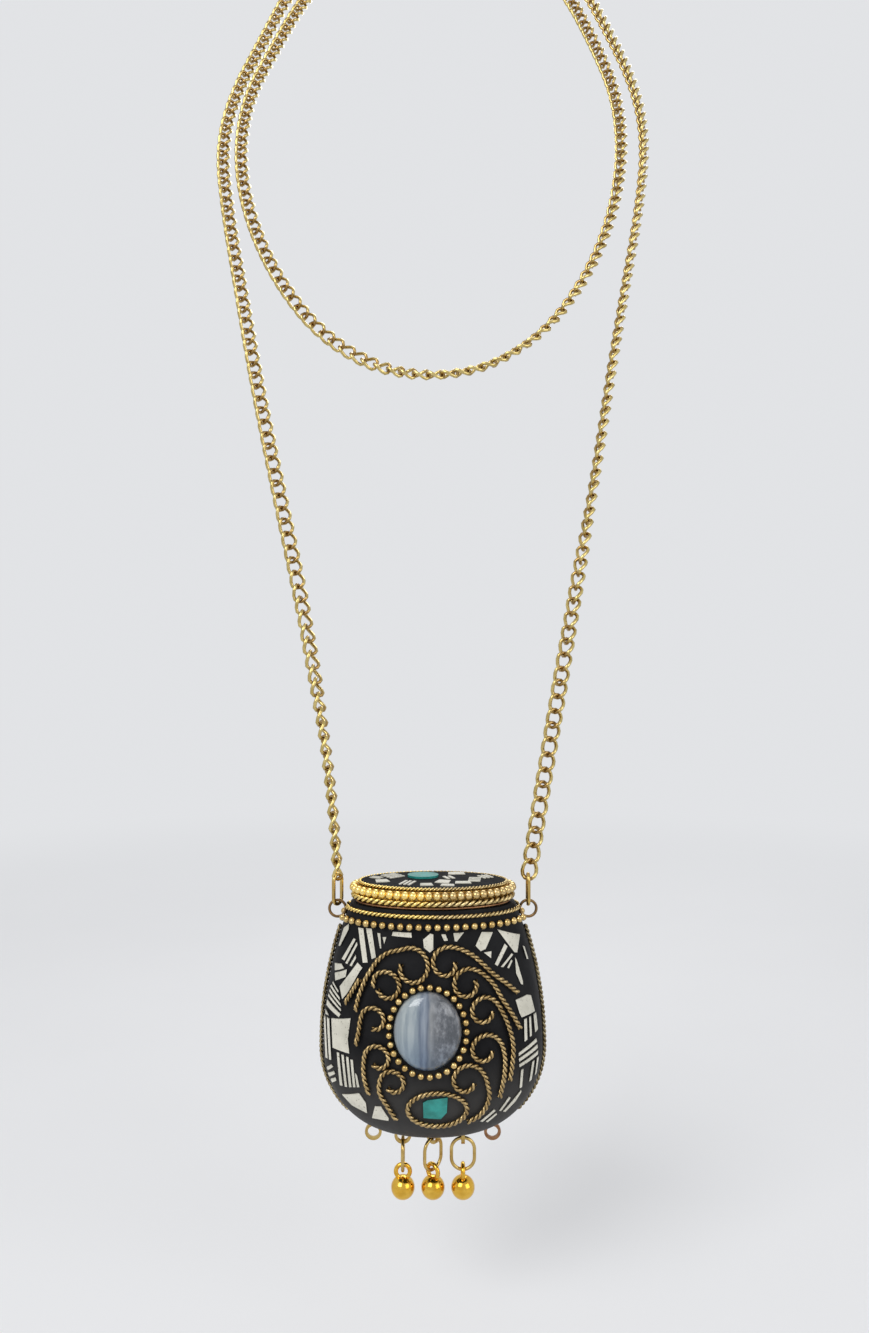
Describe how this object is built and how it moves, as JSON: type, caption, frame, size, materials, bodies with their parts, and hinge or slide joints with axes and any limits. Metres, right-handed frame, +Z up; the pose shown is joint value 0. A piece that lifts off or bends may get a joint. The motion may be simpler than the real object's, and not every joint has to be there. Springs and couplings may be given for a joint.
{
  "type": "amulet box",
  "caption": "Pot-bellied oval amulet box with hinged lid, mosaic and scrolled wire, hung by side rings from a doubled curb chain, with ball charms below.",
  "frame": {"origin": "the place at the nape of the neck that the doubled chain hangs over", "axes": "+Z up, +X to the viewer's right, and the front of the box faces -Y"},
  "size_m": [0.1364, 0.1566, 0.4189],
  "materials": {
    "chain_gold": "polished",
    "case_brass": "satin",
    "black_resin": "gloss",
    "white_chip": "satin",
    "cabochon_stone": "polished",
    "turquoise_stone": "satin",
    "antique_gold": "satin",
    "red_brass": "satin",
    "dark_brass": "satin",
    "charm_gold": "polished"
  },
  "bodies": {
    "chain": {"chain_left_strand": "chain_gold", "chain_neck_loop": "chain_gold", "chain_right_strand": "chain_gold", "left_oval_link": "chain_gold", "right_oval_link": "chain_gold"},
    "case": {"case_body": "case_brass", "neck_collar": "case_brass", "resin_ground": "black_resin", "white_chips": "white_chip", "striped_chips": "white_chip", "edge_wires": "antique_gold", "cabochon": "cabochon_stone", "cabochon_grains": "antique_gold", "turquoise_chip": "turquoise_stone", "turquoise_ring": "antique_gold", "left_scrolls": "antique_gold", "right_scrolls": "antique_gold", "left_border_wire": "antique_gold", "neck_grains": "antique_gold", "neck_ropes": "antique_gold", "case_hinge_leaf": "case_brass", "hinge_pin": "case_brass", "left_side_ring": "dark_brass", "right_side_ring": "dark_brass", "charm_loops": "charm_gold", "left_spare_loop": "charm_gold", "right_spare_loop": "red_brass"},
    "lid": {"lid_shell": "case_brass", "lid_resin": "black_resin", "lid_white_chips": "white_chip", "lid_striped_chips": "white_chip", "lid_turquoise": "turquoise_stone", "lid_frame_wire": "antique_gold", "lid_lip_wire": "red_brass", "lid_rope": "antique_gold", "lid_grains": "antique_gold", "lid_hinge_leaf": "case_brass"},
    "left_charm_link": {"left_charm_ring": "charm_gold"},
    "left_charm": {"left_charm_ball": "charm_gold"},
    "middle_charm_link": {"middle_charm_ring": "charm_gold"},
    "middle_charm": {"middle_charm_ball": "charm_gold"},
    "right_charm_link": {"right_charm_ring": "charm_gold"},
    "right_charm": {"right_charm_ball": "charm_gold"}
  },
  "joints": [
    {"name": "case_swing", "type": "hinge", "parent": "chain", "child": "case", "pos_m": [0, -0.135, -0.34195], "axis": [1, 0, 0], "range_deg": [-20, 20]},
    {"name": "lid_hinge", "type": "hinge", "parent": "case", "child": "lid", "pos_m": [0, -0.1221, -0.3418], "axis": [-1, 0, 0], "range_deg": [0, 100]},
    {"name": "left_ring_swing", "type": "hinge", "parent": "case", "child": "left_charm_link", "pos_m": [-0.0075, -0.135, -0.4024], "axis": [1, 0, 0], "range_deg": [-25, 25]},
    {"name": "left_ball_swing", "type": "hinge", "parent": "left_charm_link", "child": "left_charm", "pos_m": [-0.0075, -0.135, -0.408], "axis": [1, 0, 0], "range_deg": [-30, 30]},
    {"name": "middle_ring_swing", "type": "hinge", "parent": "case", "child": "middle_charm_link", "pos_m": [0, -0.135, -0.40132], "axis": [1, 0, 0], "range_deg": [-25, 25]},
    {"name": "middle_ball_swing", "type": "hinge", "parent": "middle_charm_link", "child": "middle_charm", "pos_m": [0, -0.135, -0.40927], "axis": [1, 0, 0], "range_deg": [-30, 30]},
    {"name": "right_ring_swing", "type": "hinge", "parent": "case", "child": "right_charm_link", "pos_m": [0.0075, -0.135, -0.40132], "axis": [1, 0, 0], "range_deg": [-25, 25]},
    {"name": "right_ball_swing", "type": "hinge", "parent": "right_charm_link", "child": "right_charm", "pos_m": [0.0075, -0.135, -0.40927], "axis": [1, 0, 0], "range_deg": [-30, 30]}
  ]
}
